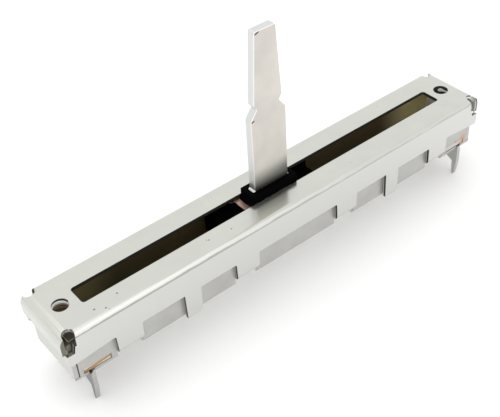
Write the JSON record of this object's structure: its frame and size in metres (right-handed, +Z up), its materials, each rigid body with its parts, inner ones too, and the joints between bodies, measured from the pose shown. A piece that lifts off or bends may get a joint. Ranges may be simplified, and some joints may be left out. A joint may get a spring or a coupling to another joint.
{
  "type": "slide potentiometer",
  "caption": "Long slide potentiometer in a folded metal case, with a flat metal lever that travels along a slot.",
  "frame": {"origin": "under the middle of the body, at the height of the tips of the terminal pins", "axes": "+X along the slot, +Y across it away from the side in the picture, +Z up along the lever"},
  "size_m": [0.0824, 0.0116, 0.043],
  "materials": {
    "cover_plating": "bright plated sheet steel, faintly mottled",
    "pan_plating": "plated sheet steel, a little duller",
    "phenolic_board": "brown phenolic paper board",
    "insulating_sheet": "thin insulating sheet",
    "carbon_ink": "printed carbon, matt",
    "silver_ink": "printed silver, satin",
    "tinned_terminal": "tinned brass sheet",
    "eyelet_brass": "rolled brass eyelet",
    "black_acetal": "moulded black plastic, satin",
    "lever_steel": "plated steel sheet, satin",
    "spring_bronze": "spring bronze sheet",
    "leaf_bronze": "copper coloured spring sheet"
  },
  "bodies": {
    "case": {"top_cover": "cover_plating", "base_pan": "pan_plating", "resistor_board": "phenolic_board", "insulator_strip": "insulating_sheet", "resistive_track": "carbon_ink", "collector_track": "silver_ink", "track_electrode_left": "silver_ink", "track_electrode_right": "silver_ink", "terminal_near_left": "tinned_terminal", "terminal_far_left": "tinned_terminal", "terminal_near_right": "tinned_terminal", "terminal_far_right": "tinned_terminal", "terminal_eyelets": "eyelet_brass"},
    "slider": {"carriage": "black_acetal", "lever": "lever_steel", "wiper_contact": "spring_bronze", "drag_spring": "leaf_bronze"}
  },
  "joints": [
    {"name": "lever_travel", "type": "slide", "parent": "case", "child": "slider", "axis": [1, 0, 0], "range_m": [-0.0291, 0.0309]}
  ]
}
